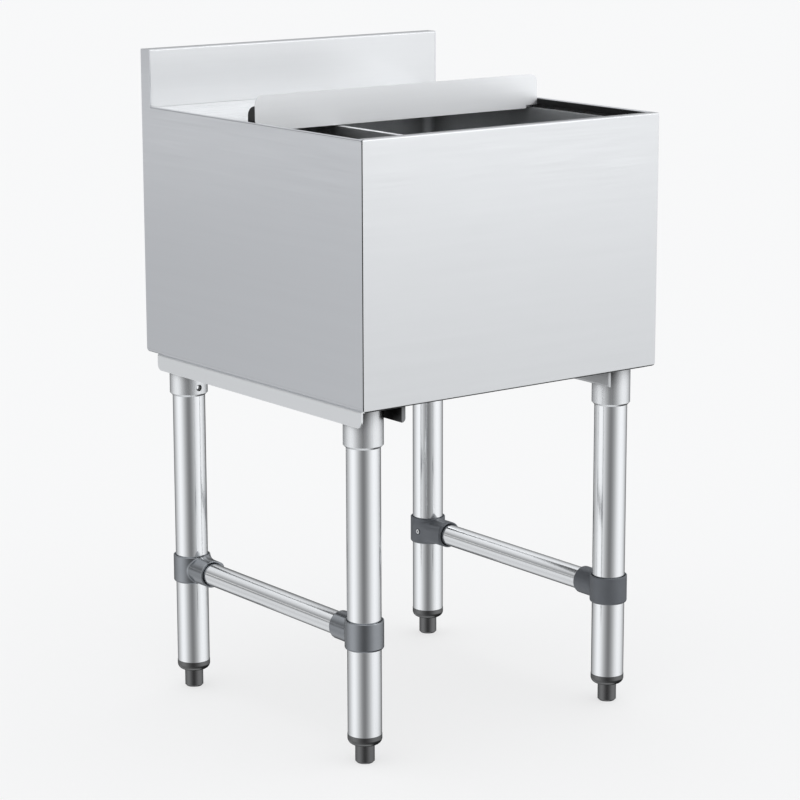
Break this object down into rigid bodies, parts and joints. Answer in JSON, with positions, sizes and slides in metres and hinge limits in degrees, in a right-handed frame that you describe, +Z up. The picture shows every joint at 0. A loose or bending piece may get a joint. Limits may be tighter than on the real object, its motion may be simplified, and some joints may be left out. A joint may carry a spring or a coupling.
{
  "type": "commercial ice bin",
  "caption": "Free-standing insulated ice bin of sheet steel on tube legs, with a sliding cover, a well divider, a drain outlet and a rear splash.",
  "frame": {"origin": "on the floor, under the middle of the body", "axes": "+Z up, +X to the right as seen from the front, +Y from the front to the rear"},
  "size_m": [0.452, 0.464, 0.826],
  "materials": {
    "outer_steel": "satin",
    "bottom_steel": "matte",
    "tank_steel": "satin",
    "cover_steel": "satin",
    "channel_steel": "satin",
    "socket_steel": "satin",
    "leg_steel": "satin",
    "tee_metal": "satin",
    "screw_steel": "satin",
    "drain_steel": "satin",
    "black_plastic": "matte",
    "foot_plastic": "satin",
    "gasket_rubber": "matte",
    "foam": "matte"
  },
  "bodies": {
    "root": {"front_panel": "outer_steel", "left_side_panel": "outer_steel", "right_side_panel": "outer_steel", "rear_panel": "outer_steel", "bottom_panel": "bottom_steel", "ice_tank": "tank_steel", "foam_floor": "foam", "foam_front": "foam", "foam_rear": "foam", "foam_left": "foam", "foam_right": "foam", "cover_rail_left": "black_plastic", "cover_rail_right": "black_plastic", "rear_cover": "cover_steel", "drain_gasket": "gasket_rubber", "drain_body": "drain_steel", "drain_locknut": "drain_steel", "leg_channel_left": "channel_steel", "leg_channel_right": "channel_steel", "socket_set_screws": "screw_steel", "tee_set_screws": "screw_steel", "cross_tube_left": "leg_steel", "cross_tube_right": "leg_steel", "leg_socket_front_left": "socket_steel", "leg_tube_front_left": "leg_steel", "tee_front_left": "tee_metal", "foot_insert_front_left": "foot_plastic", "leg_socket_front_right": "socket_steel", "leg_tube_front_right": "leg_steel", "tee_front_right": "tee_metal", "foot_insert_front_right": "foot_plastic", "leg_socket_rear_left": "socket_steel", "leg_tube_rear_left": "leg_steel", "tee_rear_left": "tee_metal", "foot_insert_rear_left": "foot_plastic", "leg_socket_rear_right": "socket_steel", "leg_tube_rear_right": "leg_steel", "tee_rear_right": "tee_metal", "foot_insert_rear_right": "foot_plastic"},
    "cover": {"sliding_cover": "cover_steel", "pull_plate": "cover_steel", "cover_end_block_left": "black_plastic", "cover_end_block_right": "black_plastic"},
    "divider": {"well_divider": "tank_steel", "divider_tongue_front": "tank_steel", "divider_tongue_rear": "tank_steel"},
    "strainer": {"drain_strainer": "drain_steel"},
    "foot_front_left": {"foot_stem_front_left": "foot_plastic"},
    "foot_front_right": {"foot_stem_front_right": "foot_plastic"},
    "foot_rear_left": {"foot_stem_rear_left": "foot_plastic"},
    "foot_rear_right": {"foot_stem_rear_right": "foot_plastic"}
  },
  "joints": [
    {"name": "cover_slide", "type": "slide", "parent": "root", "child": "cover", "axis": [0, -1, 0], "range_m": [0, 0.196]},
    {"name": "divider_slide", "type": "slide", "parent": "root", "child": "divider", "axis": [1, 0, 0], "range_m": [-0.085, 0.28]},
    {"name": "strainer_lift", "type": "slide", "parent": "root", "child": "strainer", "axis": [0, 0, 1], "range_m": [0, 0.2]},
    {"name": "foot_height_front_left", "type": "slide", "parent": "root", "child": "foot_front_left", "axis": [0, 0, 1], "range_m": [-0.005, 0.013]},
    {"name": "foot_height_front_right", "type": "slide", "parent": "root", "child": "foot_front_right", "axis": [0, 0, 1], "range_m": [-0.005, 0.013]},
    {"name": "foot_height_rear_left", "type": "slide", "parent": "root", "child": "foot_rear_left", "axis": [0, 0, 1], "range_m": [-0.005, 0.013]},
    {"name": "foot_height_rear_right", "type": "slide", "parent": "root", "child": "foot_rear_right", "axis": [0, 0, 1], "range_m": [-0.005, 0.013]}
  ]
}
